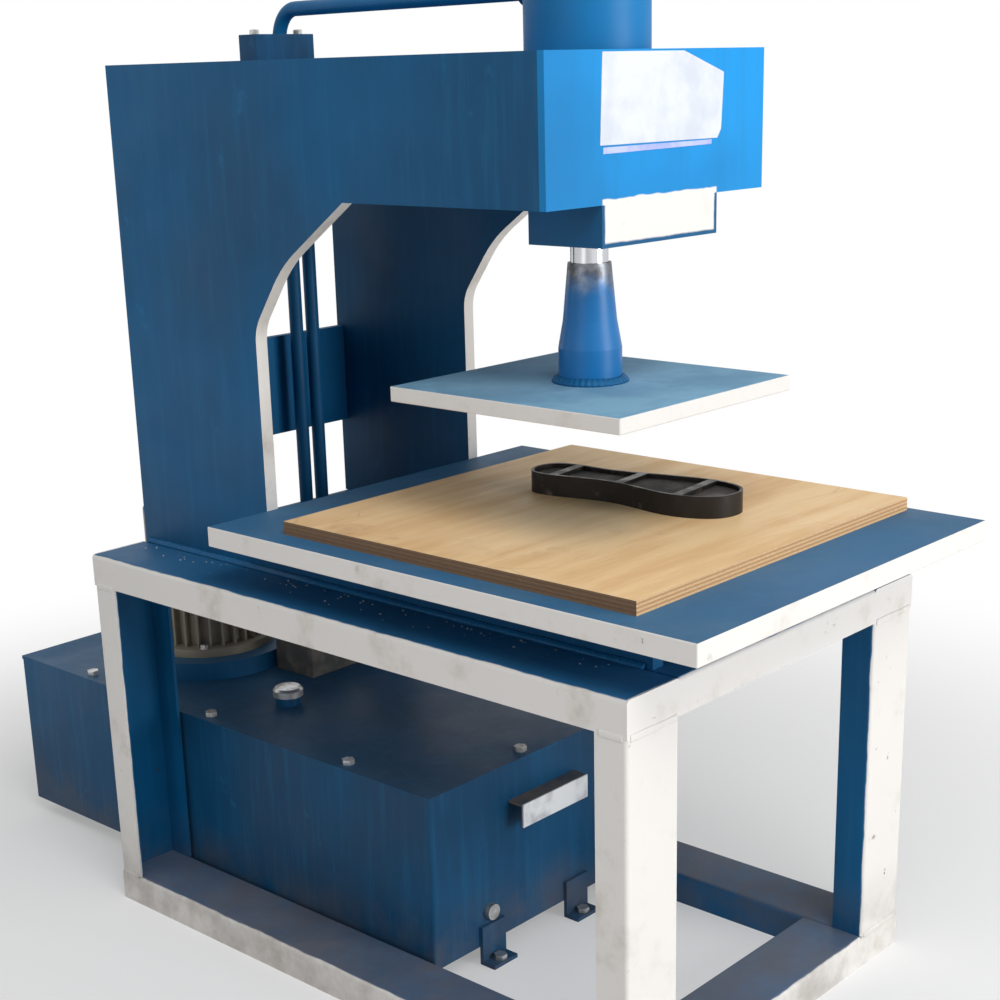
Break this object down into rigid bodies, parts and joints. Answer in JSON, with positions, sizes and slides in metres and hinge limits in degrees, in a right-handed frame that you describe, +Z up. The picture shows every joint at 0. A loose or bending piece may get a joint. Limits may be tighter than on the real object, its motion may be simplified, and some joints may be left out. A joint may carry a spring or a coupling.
{
  "type": "die cutting press",
  "caption": "Hydraulic C-frame sole cutting press on a welded channel table, with ram platen, plywood cutting board, loose sole die, oil tank and motor.",
  "frame": {"origin": "on the floor, under the middle of the overall size", "axes": "+Z up, +Y to the back of the press, +X to the right seen from the front"},
  "size_m": [0.656, 1.548, 1.406],
  "materials": {
    "blue_paint": "satin",
    "white_edge_paint": "satin",
    "bare_steel": "satin",
    "plywood": "matte",
    "die_steel": "satin",
    "die_bar_steel": "satin",
    "black_rubber": "matte",
    "chrome_rod": "polished",
    "cast_iron_dark": "matte",
    "bronze": "satin",
    "handle_paint": "satin",
    "motor_grey": "satin",
    "black_plastic": "matte"
  },
  "bodies": {
    "base": {"bed_plate": "blue_paint", "column_cross_plate": "blue_paint", "cutting_board": "plywood", "cylinder_barrel": "blue_paint", "cylinder_cap": "blue_paint", "die_braces": "die_bar_steel", "die_ejector_pad": "black_rubber", "drain_plug": "bare_steel", "fan_cowl": "motor_grey", "filler_cap": "bare_steel", "filler_neck": "blue_paint", "floor_rail_front": "blue_paint", "floor_rail_left": "blue_paint", "floor_rail_right": "blue_paint", "foot_bolts": "bare_steel", "gland_block": "blue_paint", "head_bottom_plate": "blue_paint", "head_front_plate": "blue_paint", "head_top_plate": "blue_paint", "leg_back_left": "white_edge_paint", "leg_back_right": "white_edge_paint", "leg_front_left": "white_edge_paint", "leg_front_right": "white_edge_paint", "lid_bolts": "bare_steel", "motor_adaptor": "blue_paint", "motor_end_shield": "motor_grey", "motor_shell": "motor_grey", "pipe_cap_end": "blue_paint", "pipe_clamp": "blue_paint", "pipe_nuts": "bare_steel", "pipe_rod_end": "blue_paint", "port_unions": "blue_paint", "pump_bell": "cast_iron_dark", "pump_body": "cast_iron_dark", "rod_bush": "bronze", "rod_wiper": "black_rubber", "side_plate_left": "blue_paint", "side_plate_right": "blue_paint", "sole_die": "die_steel", "suction_strainer": "bare_steel", "table_top": "blue_paint", "tank_body": "blue_paint", "tank_feet": "blue_paint", "tank_handle": "handle_paint", "tank_lid": "blue_paint", "terminal_box": "motor_grey", "top_rail_back": "white_edge_paint", "top_rail_front": "white_edge_paint", "top_rail_left": "white_edge_paint", "top_rail_right": "white_edge_paint", "valve_block": "cast_iron_dark"},
    "ram": {"platen": "blue_paint", "ram_boss": "blue_paint", "ram_rod": "chrome_rod", "piston": "cast_iron_dark", "piston_seal": "black_rubber"},
    "rotor": {"motor_rotor": "bare_steel", "motor_fan": "black_plastic", "shaft_coupling": "bare_steel", "pump_shaft": "bare_steel"}
  },
  "joints": [
    {"name": "ram_slide", "type": "slide", "parent": "base", "child": "ram", "axis": [0, 0, 1], "range_m": [-0.124, 0.02]},
    {"name": "motor_spin", "type": "hinge", "parent": "base", "child": "rotor", "pos_m": [0, 0.487, 0.4], "axis": [0, 0, 1], "continuous": true}
  ]
}
